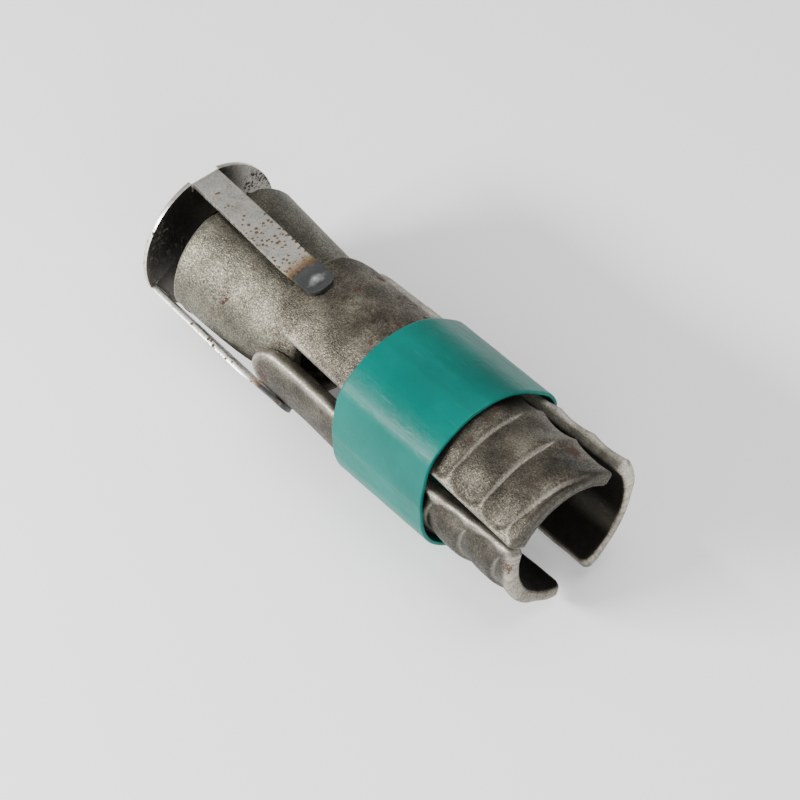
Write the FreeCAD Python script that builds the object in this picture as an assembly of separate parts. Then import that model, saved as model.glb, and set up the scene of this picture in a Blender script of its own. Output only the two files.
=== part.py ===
import FreeCAD, Part
import os
from math import radians, degrees, sin, cos, tan, sqrt

# Three-leaf expansion shell for a rock bolt, as delivered: a sheet bail holds three
# corrugated steel leaves, a plastic band keeps them closed, and the threaded cone sits
# in their far ends. Millimetres. The bolt axis is X, the outer face of the bail's disc
# is at x = 0, the open end that the bolt enters is at +X, and Z is up as the shell lies.

# bail: one folded strip of sheet, a disc with three arms
bail_gauge = 1.0
bail_disc_r = 17.0
bail_first_arm = 87.5
arm_end_angles = (96.0, 212.0, 334.0)
bail_bend_r = 0.6
arm_width = 6.6
arm_lap = 9.0
arm_flat = 11.5
arm_gap = 0.15
fold_relief = 0.5
weld_spot_r = 1.9
weld_dimple_r = 1.7
weld_dimple_depth = 0.35

# leaves: thick plate pressed to the radius of the hole, with ribs across the outside
leaf_count = 3
leaf_angles = (92.0, 206.0, 334.0)
leaf_slides = (0.9, -0.6, -0.4)
leaf_outer_r = 17.3
leaf_drop = 0.7
leaf_splay = 1.0
leaf_leans = ((-2.2, -0.9), (1.4, 0.3), (-0.8, 2.1))
leaf_wall = 3.4
leaf_tip_wall = 2.1
leaf_length = 76.8
leaf_tip_half_angle = 47.5
leaf_end_half_angle = 53.0
leaf_corner_r = 7.0
leaf_end_corner_r = 1.8
leaf_edge_bevel = 0.9
rib_count = 4
rib_pitch = 9.2
rib_depth = 1.15
rib_runout_angle = 50.0
rib_shoulder = 0.6
rib_end_land = 1.3

# cone: the nut that the bolt draws into the leaves
cone_gap = 8.2
cone_length = 34.0
cone_exposed = 26.1
cone_rim_bevel = 1.0
cone_small_rim_bevel = 0.8
wedge_angle = 5.6
channel_depth = 0.25
seat_gap = 0.35
arm_clearance = 0.25
thread_diameter = 20.0
thread_pitch = 2.5
bore_chamfer = 1.2

# plastic band round the leaves
band_wall = 0.8
band_width = 26.0
band_back = 27.5
band_gap = 0.1
band_corner_r = 4.0

# places that follow from the sizes above
cone_x = bail_gauge + cone_gap
leaf_tip_x = cone_x + cone_exposed
leaf_end_x = leaf_tip_x + leaf_length
band_x = leaf_tip_x + band_back
leaf_crown_r = leaf_outer_r - leaf_drop
wedge_slope = tan(radians(wedge_angle))
leaf_tip_inner_r = leaf_crown_r - leaf_tip_wall
cone_r_at_tip = leaf_tip_inner_r - seat_gap + channel_depth
cone_big_r = cone_r_at_tip + cone_exposed * wedge_slope
cone_first_channel = sum(leaf_angles[k] - 120.0 * k for k in range(leaf_count)) / leaf_count
arm_fold_r = sqrt(bail_disc_r ** 2 - (arm_width / 2) ** 2)
arm_outer_r = leaf_crown_r + arm_lap * tan(radians(leaf_splay)) + arm_gap + bail_gauge
cone_land_r = arm_fold_r - bail_gauge - arm_clearance
thread_minor_r = (thread_diameter - 1.0825 * thread_pitch) / 2

AXIS = FreeCAD.Vector(1, 0, 0)
ORIGIN = FreeCAD.Vector(0, 0, 0)
UP = FreeCAD.Vector(0, 0, 1)


def at(x, y, z):
    return FreeCAD.Vector(x, y, z)


def turned(shape, angle):
    """the shape, modelled pointing straight up, turned about the bolt axis to an angle
    that is counted from +Y"""
    copy = shape.copy()
    copy.rotate(ORIGIN, AXIS, angle - 90.0)
    return copy


def closed(shape):
    """the same solid with hairline gaps at its bevels closed, if it has any"""
    if not shape.isValid():
        shape = shape.copy()
        shape.fix(0.001, 0.001, 0.01)
    return shape


def placed(shape, angle, slide, lean):
    """a leaf at its angle, its open end leaning off the bolt axis by a little in Y and Z,
    shifted a little along the bolt as it happens to lie"""
    copy = turned(shape, angle)
    tip = at(leaf_tip_x, 0, 0).add(polar(angle, leaf_crown_r))
    copy.rotate(tip, UP, degrees(lean[0] / leaf_length))
    copy.rotate(tip, at(0, 1, 0), -degrees(lean[1] / leaf_length))
    copy.translate(at(slide, 0, 0))
    return closed(copy)


def face_of(*edges):
    return Part.Face(Part.Wire(Part.__sortEdges__(list(edges))))


def line(a, b):
    return Part.makeLine(a, b)


def arc(a, middle, b):
    return Part.Arc(a, middle, b).toShape()


# leaf

def leaf_plate():
    """The plain plate: its section along the bolt, revolved about the leaf's own axis.
    Inside the far tip it is ground back to the slope of the cone."""
    lead = (leaf_wall - leaf_tip_wall) / tan(radians(wedge_angle + leaf_splay))
    inner_r = leaf_outer_r - leaf_wall
    tip_inner_r = leaf_outer_r - leaf_tip_wall
    corners = [
        at(leaf_tip_x, 0, leaf_outer_r),
        at(leaf_end_x, 0, leaf_outer_r),
        at(leaf_end_x, 0, inner_r),
        at(leaf_tip_x + lead, 0, inner_r),
        at(leaf_tip_x, 0, tip_inner_r),
    ]
    section = Part.Face(Part.makePolygon(corners + corners[:1]))
    sweep = 2 * leaf_end_half_angle + 10.0
    plate = section.revolve(ORIGIN, AXIS, sweep)
    plate.rotate(ORIGIN, AXIS, -sweep / 2)
    plate.translate(at(0, 0, -leaf_drop))
    return plate


def side_cutter(side):
    """Half space beside the leaf. Its face holds a radial line at the tip and at the
    open end, so that the leaf is a little narrower at the tip."""
    tip = radians(leaf_tip_half_angle) * side
    end = radians(leaf_end_half_angle) * side
    middle = (tip + end) / 2
    a = at(leaf_tip_x, leaf_crown_r * sin(tip), leaf_crown_r * cos(tip))
    b = at(leaf_end_x, leaf_crown_r * sin(end), leaf_crown_r * cos(end))
    along = b.sub(a).normalize()
    radial = at(0, sin(middle), cos(middle))
    normal = along.cross(radial).multiply(-side).normalize()
    reach = 2 * leaf_length
    plane = Part.makePlane(reach, reach, ORIGIN, UP)
    plane.translate(at(-reach / 2, -reach / 2, 0))
    block = plane.extrude(at(0, 0, leaf_outer_r))
    block.Placement = FreeCAD.Placement(a.add(b).multiply(0.5), FreeCAD.Rotation(UP, normal))
    return block


def rib_valley(start):
    """Cutter for one pressed notch and the fall of the two pads beside it. It is deepest
    at the crown and runs out before the sides of the leaf, because its floor is flatter
    than the leaf. The pads fall slowly at first and steeply into the notch."""
    run = radians(rib_runout_angle)
    edge_y = leaf_outer_r * sin(run)
    edge_z = leaf_outer_r * cos(run) - leaf_drop
    crown_z = leaf_crown_r - rib_depth
    rise = crown_z - edge_z
    floor_r = (edge_y ** 2 + rise ** 2) / (2 * rise)
    top = floor_r + 2 * rib_depth
    half = rib_pitch / 2
    shoulder_r = floor_r + (1 - rib_shoulder ** 2) * rib_depth
    fall = [
        at(start, 0, floor_r + rib_depth),
        at(start + rib_shoulder * half, 0, shoulder_r),
        at(start + half, 0, floor_r),
        at(start + (2 - rib_shoulder) * half, 0, shoulder_r),
        at(start + rib_pitch, 0, floor_r + rib_depth),
        at(start + rib_pitch, 0, top),
        at(start, 0, top),
    ]
    section = Part.Face(Part.makePolygon(fall + fall[:1]))
    cutter = section.revolve(ORIGIN, AXIS, 120.0)
    cutter.rotate(ORIGIN, AXIS, -60.0)
    cutter.translate(at(0, 0, crown_z - floor_r))
    return cutter


def radial_edges(shape, x):
    """the short edges through the plate's wall at a corner of the leaf"""
    found = []
    for edge in shape.Edges:
        ends = [vertex.Point for vertex in edge.Vertexes]
        if len(ends) == 2 and all(abs(p.x - x) < 0.4 for p in ends) and edge.Length < 1.5 * leaf_wall:
            found.append(edge)
    return found


def outer_edges(shape):
    """the long outer edges of the sides and the outer edges of both ends"""
    found = []
    for edge in shape.Edges:
        middle = edge.valueAt((edge.FirstParameter + edge.LastParameter) / 2)
        points = [vertex.Point for vertex in edge.Vertexes] + [middle]
        radii = [sqrt(p.y ** 2 + (p.z + leaf_drop) ** 2) for p in points]
        if all(abs(radius - leaf_outer_r) < 0.05 for radius in radii):
            found.append(edge)
    return found


def leaf():
    plate = leaf_plate()
    for side in (-1, 1):
        plate = plate.cut(side_cutter(side))
    plate = plate.makeFillet(leaf_corner_r, radial_edges(plate, leaf_tip_x))
    plate = plate.makeFillet(leaf_end_corner_r, radial_edges(plate, leaf_end_x))
    plate = closed(plate.makeChamfer(leaf_edge_bevel, outer_edges(plate)))
    first_rib = leaf_end_x - rib_end_land - rib_count * rib_pitch
    for k in range(rib_count):
        plate = plate.cut(rib_valley(first_rib + k * rib_pitch))
    plate.rotate(at(leaf_tip_x, 0, leaf_crown_r), at(0, 1, 0), -leaf_splay)
    return closed(plate)


# cone

def rim_at(shape, x):
    """the edges that lie in the plane across the bolt axis at x"""
    return [edge for edge in shape.Edges
            if abs(edge.BoundBox.XMin - x) < 0.01 and edge.BoundBox.XLength < 0.01]


def cone_body():
    """turned blank: an even taper with a bevel at each end"""
    small_r = cone_big_r - cone_length * wedge_slope
    blank = Part.makeCone(cone_big_r, small_r, cone_length, at(cone_x, 0, 0), AXIS)
    blank = blank.makeChamfer(cone_rim_bevel, rim_at(blank, cone_x))
    return blank.makeChamfer(cone_small_rim_bevel, rim_at(blank, cone_x + cone_length))


def channel_cutter():
    """what lies above one channel's floor: the floor follows the leaf's own curve and
    slopes like the cone"""
    start_r = leaf_outer_r - leaf_tip_wall - seat_gap + cone_exposed * wedge_slope
    floor = Part.makeCone(start_r, start_r - cone_length * wedge_slope, cone_length, at(cone_x, 0, 0), AXIS)
    floor.translate(at(0, 0, -leaf_drop))
    half = leaf_crown_r * sin(radians(60))
    block = Part.makeBox(cone_length, 2 * half, leaf_outer_r, at(cone_x, -half, 0))
    return block.cut(floor)


def land_cutter():
    """what lies above the flat land that lets an arm of the bail pass"""
    half = bail_disc_r
    return Part.makeBox(cone_length, 2 * half, leaf_outer_r, at(cone_x, -half, cone_land_r))


def cone():
    body = cone_body()
    channel = channel_cutter()
    land = land_cutter()
    for k in range(leaf_count):
        body = body.cut(turned(channel, cone_first_channel + 120.0 * k))
        body = body.cut(turned(land, bail_first_arm + 120.0 * k))
    bore = Part.makeCylinder(thread_minor_r, cone_length, at(cone_x, 0, 0), AXIS)
    body = body.cut(bore)
    outer = thread_minor_r + bore_chamfer
    mouth = Part.makeCone(outer, thread_minor_r, bore_chamfer, at(cone_x, 0, 0), AXIS)
    tail_x = cone_x + cone_length - bore_chamfer
    tail = Part.makeCone(thread_minor_r, outer, bore_chamfer, at(tail_x, 0, 0), AXIS)
    return body.cut(mouth).cut(tail)


# bail

def strip_section(x, angle, outer_r):
    """the arm's rectangle across the bolt axis at x, turned to its angle"""
    half = arm_width / 2
    points = [at(x, -half, outer_r), at(x, half, outer_r),
              at(x, half, outer_r - bail_gauge), at(x, -half, outer_r - bail_gauge)]
    wire = Part.makePolygon(points + points[:1])
    return turned(wire, angle)


def fold(angle):
    """the bend from the disc into an arm, a quarter turn on the chord of the disc"""
    outer = bail_bend_r + bail_gauge
    half = arm_width / 2
    centre = at(outer, 0, arm_fold_r - outer)
    section = Part.makePolygon([
        at(outer, -half, arm_fold_r), at(outer, half, arm_fold_r),
        at(outer, half, arm_fold_r - bail_gauge), at(outer, -half, arm_fold_r - bail_gauge),
        at(outer, -half, arm_fold_r)])
    bend = Part.Face(section).revolve(centre, at(0, -1, 0), 90.0)
    return turned(bend, angle)


def arm(angle, end_angle):
    """one arm: the fold, a straight strip that leans and turns to its leaf, a flat lap
    with a round end, and the weld's dimple and spot"""
    start_x = bail_bend_r + bail_gauge
    lap_x = leaf_tip_x + arm_lap - arm_flat
    sections = [strip_section(start_x, angle, arm_fold_r), strip_section(lap_x, end_angle, arm_outer_r)]
    strip = Part.makeLoft(sections, True, True)
    half = arm_width / 2
    round_x = leaf_tip_x + arm_lap - half
    low = arm_outer_r - bail_gauge
    lap = Part.makeBox(round_x - lap_x, arm_width, bail_gauge, at(lap_x, -half, low))
    lap = lap.fuse(Part.makeCylinder(half, bail_gauge, at(round_x, 0, low), UP))
    spot = Part.makeCylinder(weld_spot_r, 3 * arm_gap, at(round_x, 0, low - 3 * arm_gap), UP)
    floor_r = weld_dimple_r - 2 * weld_dimple_depth
    dimple = Part.makeCone(floor_r, weld_dimple_r, weld_dimple_depth,
                           at(round_x, 0, arm_outer_r - weld_dimple_depth), UP)
    lap = lap.fuse(spot).cut(dimple)
    return fold(angle).fuse(strip).fuse(turned(lap, end_angle))


def bail(leaves):
    """the whole bail, its weld spots trimmed to the leaves that they hold"""
    body = Part.makeCylinder(bail_disc_r, bail_gauge, ORIGIN, AXIS)
    outer = bail_bend_r + bail_gauge
    notch_half = arm_width / 2 + fold_relief
    notch = Part.makeBox(bail_gauge, 2 * notch_half, 2 * outer, at(0, -notch_half, arm_fold_r - outer))
    for k in range(leaf_count):
        body = body.cut(turned(notch, bail_first_arm + 120.0 * k))
    for k in range(leaf_count):
        angle = bail_first_arm + 120.0 * k
        body = body.fuse(arm(angle, arm_end_angles[k]))
    for one in leaves:
        body = body.cut(one)
    return body.removeSplitter()


# band

def polar(angle, radius):
    return at(0, radius * cos(radians(angle)), radius * sin(radians(angle)))


def band_prism(clear, x, width):
    """the outline that a tight band takes: round on each leaf up to its bevel, straight
    across the gaps between them, pushed out by a clearance, its corners rounded. Each leaf
    is taken where it leans at the band's middle, with room for its lean over the width."""
    share = (band_x + band_width - leaf_tip_x) / leaf_length
    half = leaf_tip_half_angle + share * (leaf_end_half_angle - leaf_tip_half_angle)
    half = half - degrees(leaf_edge_bevel / leaf_outer_r)
    middle = (band_x + band_width / 2 - leaf_tip_x) / leaf_length
    rise = middle * leaf_length * tan(radians(leaf_splay))
    spare = band_width / 2 / leaf_length
    edges = []
    first = None
    last = None
    for angle, lean in zip(leaf_angles, leaf_leans):
        reach = sqrt(lean[0] ** 2 + lean[1] ** 2)
        radius = leaf_outer_r + clear + spare * (reach + leaf_length * tan(radians(leaf_splay)))
        centre = polar(angle, rise - leaf_drop).add(at(0, middle * lean[0], middle * lean[1]))
        ends = [centre.add(polar(angle + side * half, radius)) for side in (-1, 1)]
        crown = centre.add(polar(angle, radius))
        if last is not None:
            edges.append(line(last, ends[0]))
        edges.append(arc(ends[0], crown, ends[1]))
        first = ends[0] if first is None else first
        last = ends[1]
    edges.append(line(last, first))
    prism = face_of(*edges).extrude(at(width, 0, 0))
    prism.translate(at(x, 0, 0))
    creases = [edge for edge in prism.Edges
               if abs(edge.BoundBox.XLength - width) < 0.01 and len(edge.Vertexes) == 2]
    return prism.makeFillet(band_corner_r + clear, creases)


def band():
    outer = band_prism(band_gap + band_wall, band_x, band_width)
    inner = band_prism(band_gap, band_x - 1, band_width + 2)
    return outer.cut(inner)


def export(shape, name):
    solids = shape.Solids
    print(name, "solids", len(solids), "valid", shape.isValid(), "volume", round(shape.Volume, 1))
    solid = solids[0] if len(solids) == 1 else shape
    solid.exportStep("parts/%s.step" % name)


def main():
    os.makedirs("parts", exist_ok=True)
    one_leaf = leaf()
    leaves = [placed(one_leaf, *place) for place in zip(leaf_angles, leaf_slides, leaf_leans)]
    for shape, name in zip(leaves, ("leaf_top", "leaf_left", "leaf_right")):
        export(shape, name)
    export(cone(), "cone")
    export(bail(leaves), "bail")
    export(band(), "retaining_band")


main()
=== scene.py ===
# %% [markdown]
# # Expansion shell of a rock bolt
# Three thick pressed steel leaves, a threaded cone and a sheet bail, held shut by a plastic
# band. The shell lies on its side. The bolt axis is X, the bail's disc faces -X, and the open
# end looks towards +X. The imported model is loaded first, because every new piece takes its
# place and rides on one of its bodies.

# %% Load the frame
import math
import bmesh
import bpy
from mathutils import Matrix, Vector, noise


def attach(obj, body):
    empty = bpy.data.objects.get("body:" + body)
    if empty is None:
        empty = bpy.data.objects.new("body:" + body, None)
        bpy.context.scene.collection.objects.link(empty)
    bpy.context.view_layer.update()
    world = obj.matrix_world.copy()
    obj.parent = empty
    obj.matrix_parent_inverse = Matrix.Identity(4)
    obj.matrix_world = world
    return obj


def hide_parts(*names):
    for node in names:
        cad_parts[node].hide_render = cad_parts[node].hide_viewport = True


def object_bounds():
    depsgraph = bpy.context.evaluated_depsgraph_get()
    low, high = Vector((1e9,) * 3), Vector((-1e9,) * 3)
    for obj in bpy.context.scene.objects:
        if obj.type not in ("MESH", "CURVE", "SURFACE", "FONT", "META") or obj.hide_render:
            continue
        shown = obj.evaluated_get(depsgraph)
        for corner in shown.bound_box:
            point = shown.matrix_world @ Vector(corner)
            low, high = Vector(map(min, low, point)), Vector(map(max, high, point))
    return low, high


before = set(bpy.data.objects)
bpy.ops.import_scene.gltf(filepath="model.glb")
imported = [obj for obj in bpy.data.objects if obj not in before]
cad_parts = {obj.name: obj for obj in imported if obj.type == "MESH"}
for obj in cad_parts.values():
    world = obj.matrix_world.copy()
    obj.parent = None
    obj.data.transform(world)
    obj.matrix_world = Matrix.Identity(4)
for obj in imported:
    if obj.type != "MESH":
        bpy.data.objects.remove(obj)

cad_low, cad_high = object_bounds()
print("CAD box, mm:", [round(1000 * v, 1) for v in list(cad_low) + list(cad_high)])

# %% [markdown]
# ## Working in millimetres
# The shell is about 113 mm long, so its sizes are easiest to read in millimetres. Each mesh
# is made in millimetres and scaled to metres once, when it is turned into an object.

# %% From a bmesh to an object
MM = 0.001


def to_object(bm, name, material):
    """the bmesh as a smooth-shaded object in metres, standing at the origin"""
    bmesh.ops.scale(bm, vec=(MM, MM, MM), verts=bm.verts)
    mesh = bpy.data.meshes.new(name)
    bm.to_mesh(mesh)
    bm.free()
    mesh.shade_smooth()
    mesh.materials.append(material)
    piece = bpy.data.objects.new(name, mesh)
    bpy.context.scene.collection.objects.link(piece)
    print(name, "faces", len(mesh.polygons))
    return piece


# %% [markdown]
# ## Colours and nodes
# Colours are picked as sRGB hex values, as in a paint program, and one function turns them
# into the linear values that Blender's shaders work with. One more function adds a node, its
# settings and its links, so a material reads as a list of what lies on the metal. Sockets
# without a name of their own are given by number: a Map Range reads from 1 to 2 and gives
# from 3 to 4, and a colour Mix takes its share at 0 and its two colours at 6 and 7.

# %% Colour and node helpers
def linear(code):
    """an sRGB hex colour as the linear RGBA of a shader"""
    channels = [int(code[i:i + 2], 16) / 255.0 for i in (1, 3, 5)]
    straight = [c / 12.92 if c <= 0.04045 else ((c + 0.055) / 1.055) ** 2.4 for c in channels]
    return tuple(straight) + (1.0,)


def feed(tree, node, inputs):
    """fills inputs of a node with a value, an output, or the first output of another node"""
    for key, value in inputs.items():
        if isinstance(value, bpy.types.Node):
            value = value.outputs[0]
        if isinstance(value, bpy.types.NodeSocket):
            tree.links.new(value, node.inputs[key])
        else:
            node.inputs[key].default_value = value


def add(tree, kind, inputs=None, stops=None, **settings):
    """adds a node. settings are its properties, stops the places and colours of a ramp"""
    made = tree.nodes.new("ShaderNode" + kind)
    for key, value in settings.items():
        setattr(made, key, value)
    feed(tree, made, inputs or {})
    if stops:
        elements = made.color_ramp.elements
        while len(elements) < len(stops):
            elements.new(0.5)
        for element, (place, code) in zip(elements, stops):
            element.position = place
            element.color = linear(code)
    return made


# %% A new material
def new_material(name, viewport):
    """a material with an empty node tree that ends in a Principled shader"""
    material = bpy.data.materials.new(name)
    material.use_nodes = True
    material.diffuse_color = linear(viewport)
    tree = material.node_tree
    shader = tree.nodes["Principled BSDF"]
    return material, tree, shader


# %% [markdown]
# ## Camera
# The camera stands where the photograph was taken from: above the open end and to its right,
# with a long lens. Its directions and place were solved from the round edges of the disc and
# the band, so they are written as they came out.

# %% Camera
CAMERA_RIGHT = Vector((0.65417, 0.75451, -0.05276))
CAMERA_UP = Vector((-0.54844, 0.52123, 0.65386))
CAMERA_BACK = Vector((0.52084, -0.39880, 0.75477))
CAMERA_PLACE = (0.362657, -0.230414, 0.433695)

camera_data = bpy.data.cameras.new("camera")
camera_data.lens = 129.9
camera_data.sensor_width = 36.0
camera_data.clip_start = 0.01
camera = bpy.data.objects.new("camera", camera_data)
turn = Matrix((CAMERA_RIGHT, CAMERA_UP, CAMERA_BACK)).transposed().to_4x4()
camera.matrix_world = Matrix.Translation(CAMERA_PLACE) @ turn
bpy.context.scene.collection.objects.link(camera)
bpy.context.scene.camera = camera
print("camera is", round(camera.location.length, 3), "m from the disc's centre")

# %% [markdown]
# ## Floor and light
# A plain pale floor lies just under the lowest point of the shell, and a trace of light of its
# own keeps the shadow soft. One long soft light hangs over the near left side and makes the
# bright strip along the leaves, and two weaker ones open the shadows. The white surroundings do
# the rest.

# %% Floor
FLOOR_GAP = 0.0002
FLOOR_HALF = 3.0

bm = bmesh.new()
bmesh.ops.create_grid(bm, x_segments=1, y_segments=1, size=FLOOR_HALF)
bmesh.ops.translate(bm, vec=(0, 0, cad_low[2] - FLOOR_GAP), verts=bm.verts)
floor_mesh = bpy.data.meshes.new("floor")
bm.to_mesh(floor_mesh)
bm.free()
floor = bpy.data.objects.new("floor", floor_mesh)
bpy.context.scene.collection.objects.link(floor)
# matt background paper: even and pale, with no gloss
paper, tree, shader = new_material("studio_paper", "#f4f4f4")
feed(tree, shader, {
    "Base Color": linear("#f6f6f6"), "Roughness": 0.9,
    "Emission Color": linear("#ffffff"), "Emission Strength": 0.1})
floor_mesh.materials.append(paper)
print("floor at", round(1000 * (cad_low[2] - FLOOR_GAP), 2), "mm")

# %% Lights
SHELL_MIDDLE = Vector((0.058, 0.0, 0.0))


def soft_light(name, direction, distance, size, power, along=(1, 0, 0)):
    """a rectangular light that looks at the middle of the shell, its long side near along"""
    data = bpy.data.lights.new(name, "AREA")
    data.shape = "RECTANGLE"
    data.size, data.size_y = size
    data.energy = power
    back = Vector(direction).normalized()
    side = (Vector(along) - back * back.dot(Vector(along))).normalized()
    lamp = bpy.data.objects.new(name, data)
    turn = Matrix((side, back.cross(side), back)).transposed().to_4x4()
    lamp.matrix_world = Matrix.Translation(SHELL_MIDDLE + back * distance) @ turn
    bpy.context.scene.collection.objects.link(lamp)
    print(name, power, "W at", distance, "m")


soft_light("key_light", (-0.40, -0.79, 0.43), 0.55, (0.28, 0.07), 6.0)
soft_light("top_light", (0.1, 0.25, 1.0), 0.70, (0.60, 0.40), 2.6)
soft_light("end_light", (1.0, -0.45, 0.55), 0.70, (0.40, 0.30), 3.5, along=(0, 1, 0))

# %% White surroundings
world = bpy.data.worlds.new("white_room")
world.use_nodes = True
background = world.node_tree.nodes["Background"]
feed(world.node_tree, background, {"Color": linear("#ffffff"), "Strength": 0.52})
bpy.context.scene.world = world
print("white room")

# %% [markdown]
# ## Shot-blasted steel
# The leaves and the cone are hot-formed steel, blasted clean with shot. That leaves a matt
# grey-brown skin of tiny dents, which glints in small points, with darker scale in the hollows
# and a first bloom of red rust. A picture of such steel would need the pieces unwrapped, so
# noises in the piece's own space are used: the dents, the cloudy tone of the scale, and the
# rare rust flecks, each with its own grain in millimetres.

# %% Grain and tone of the steel
def blobs(size_mm):
    """the scale of a noise whose blobs are about this wide"""
    return 1000.0 / size_mm


def blasted_grain(tree, place):
    """the dents of the shot and the grit between them. Real dents are about 0.25 mm wide, and
    they are drawn a little coarser, so that they show"""
    dents = add(tree, "TexNoise", {
        "Vector": place, "Scale": blobs(0.4), "Detail": 4.0, "Roughness": 0.8})
    grit = add(tree, "TexVoronoi", {"Vector": place, "Scale": blobs(0.32)})
    return dents, grit


def cloudy_tone(tree, place, dents, clouding, colours):
    """dark in the hollows, light on the dents' rims. clouding is how much of the tone comes
    from clouds of scale about 7 mm wide"""
    cloud = add(tree, "TexNoise", {
        "Vector": place, "Scale": blobs(7.0), "Detail": 5.0, "Roughness": 0.6})
    tone = add(tree, "Mix", {0: clouding, 2: dents, 3: cloud})
    stops = list(zip((0.37, 0.50, 0.63), colours))
    return add(tree, "ValToRGB", {"Fac": tone}, stops=stops)


print("dents at scale", blobs(0.4), "and clouds at scale", round(blobs(7.0)))


# %% Rust on the steel
def rust_amount(tree, place, stains):
    """rust sits in flecks of 0.3 to 1 mm, denser in some clouds than in others. A stain is a
    place and a reach in metres, inside which the flecks run together"""
    fleck = add(tree, "TexNoise", {
        "Vector": place, "Scale": blobs(0.9), "Detail": 3.0, "Roughness": 0.8})
    patch = add(tree, "TexNoise", {"Vector": place, "Scale": blobs(16.0), "Detail": 2.0})
    both = add(tree, "Math", {0: fleck, 1: patch}, operation="ADD")
    amount = add(tree, "MapRange", {"Value": both, 1: 1.26, 2: 1.34}).outputs[0]
    for centre, reach in stains:
        away = add(tree, "VectorMath", {0: place, 1: centre}, operation="DISTANCE")
        near = add(tree, "MapRange", {"Value": away.outputs["Value"], 1: reach, 2: reach * 0.2})
        broken = add(tree, "Math", {0: fleck, 1: 1.6, 2: near}, operation="MULTIPLY_ADD")
        stain = add(tree, "MapRange", {"Value": broken, 1: 1.48, 2: 1.66, 4: 0.85})
        larger = add(tree, "Math", {0: amount, 1: stain}, operation="MAXIMUM")
        amount = larger.outputs[0]
    return amount


# %% [markdown]
# The layers lie on each other. Crests and edges are made lighter, partly as wear and partly as a
# painted highlight, rust grows over them, and the dark of scale covers all, on the inner skin as
# painted shade. What is lightened or darkened depends on the shape, so the meshes carry two
# attributes, one that lightens and one, scale, that darkens, which the material reads.

# %% The whole steel
def blasted_steel(name, dark, mid, light, clouding, stains=()):
    """hot-formed steel, blasted: matt, grey-brown, with a fine glint"""
    material, tree, shader = new_material(name, mid)
    place = add(tree, "TexCoord").outputs["Object"]
    dents, grit = blasted_grain(tree, place)
    base = cloudy_tone(tree, place, dents, clouding, (dark, mid, light))
    amount = rust_amount(tree, place, stains)
    # a light colour where the lightening is high: wear on the edges, and a painted highlight on
    # crests and edges
    wear_and_highlight = add(tree, "Attribute", attribute_name="wear_and_highlight")
    wear_and_highlight_share = add(tree, "Math", {0: wear_and_highlight.outputs["Fac"], 1: dents}, operation="MULTIPLY")
    wear_and_highlight_colour = add(tree, "Mix", {0: wear_and_highlight_share, 6: base, 7: linear("#d6d0c2")}, data_type="RGBA")
    rusted = add(tree, "Mix", {
        0: amount, 6: wear_and_highlight_colour.outputs[2], 7: linear("#3f2017")}, data_type="RGBA")
    # the dark colour goes where scale is high: mill scale at the leaves' ends, a darkening of
    # ribs, skin and the cone's lands, and painted shade over the leaves' inner skin
    scale = add(tree, "Attribute", attribute_name="scale")
    scale_and_shade_colour = add(tree, "Mix", {
        0: scale.outputs["Fac"], 6: rusted.outputs[2], 7: linear("#2b2925")}, data_type="RGBA")
    feed(tree, shader, {"Base Color": scale_and_shade_colour.outputs[2]})
    finish_steel(tree, shader, dents, grit, amount)
    print(name, "nodes", len(tree.nodes))
    return material


def finish_steel(tree, shader, dents, grit, amount):
    """smoother on the dents' rims, rough and no longer metallic where it rusts"""
    rough = add(tree, "MapRange", {"Value": dents, 1: 0.35, 2: 0.65, 3: 0.66, 4: 0.42})
    rusty = add(tree, "Math", {0: rough, 1: amount}, operation="MAXIMUM")
    metal = add(tree, "MapRange", {"Value": amount, 3: 1.0, 4: 0.25})
    relief = add(tree, "Math", {0: dents, 1: grit.outputs["Distance"]}, operation="ADD")
    bump = add(tree, "Bump", {"Height": relief, "Strength": 0.55, "Distance": 0.00012})
    feed(tree, shader, {"Roughness": rusty, "Metallic": metal, "Normal": bump})


# %% The two steels
# places and reach, in metres, of the rust stains that stand out on the leaves
RUST_STAINS = (
    ((0.0457, 0.0099, 0.0133), 0.0022), ((0.0467, 0.0030, 0.0163), 0.0020),
    ((0.0600, 0.0094, 0.0135), 0.0020), ((0.0595, 0.0027, 0.0164), 0.0018),
    ((0.0593, -0.0043, 0.0163), 0.0015), ((0.0612, -0.0097, 0.0142), 0.0018),
    ((0.0892, 0.0018, 0.0166), 0.0020), ((0.0901, -0.0016, 0.0169), 0.0015),
    ((0.0909, -0.0067, 0.0161), 0.0016), ((0.0898, -0.0094, 0.0151), 0.0014),
    ((0.1070, -0.0061, 0.0165), 0.0013), ((0.1076, -0.0044, 0.0168), 0.0012),
    ((0.1052, 0.0075, 0.0137), 0.0040), ((0.0384, -0.0166, -0.0014), 0.0046),
    ((0.0575, -0.0163, 0.0034), 0.0020), ((0.0928, -0.0158, 0.0050), 0.0022),
    ((0.0977, -0.0147, 0.0077), 0.0014), ((0.1110, -0.0162, 0.0031), 0.0038),
)
leaf_steel = blasted_steel(
    "shot_blasted_steel", "#2a2724", "#5a554b", "#8f897b", 0.45, RUST_STAINS)
cone_steel = blasted_steel("shot_blasted_cone_steel", "#37342d", "#5e5b50", "#8e8a7b", 0.35)

# %% [markdown]
# ## Bare sheet
# The bail is bent from cold-rolled sheet: smoother and lighter than the leaves, with brown
# rust specks, and a painted shade on the side of the disc that looks at the cone. Spot welding
# heated the ends of its arms, which left a pale scar and round it a blue-grey and then a brown
# ring. The mesh carries the distance from the weld, and the material reads it.

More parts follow.
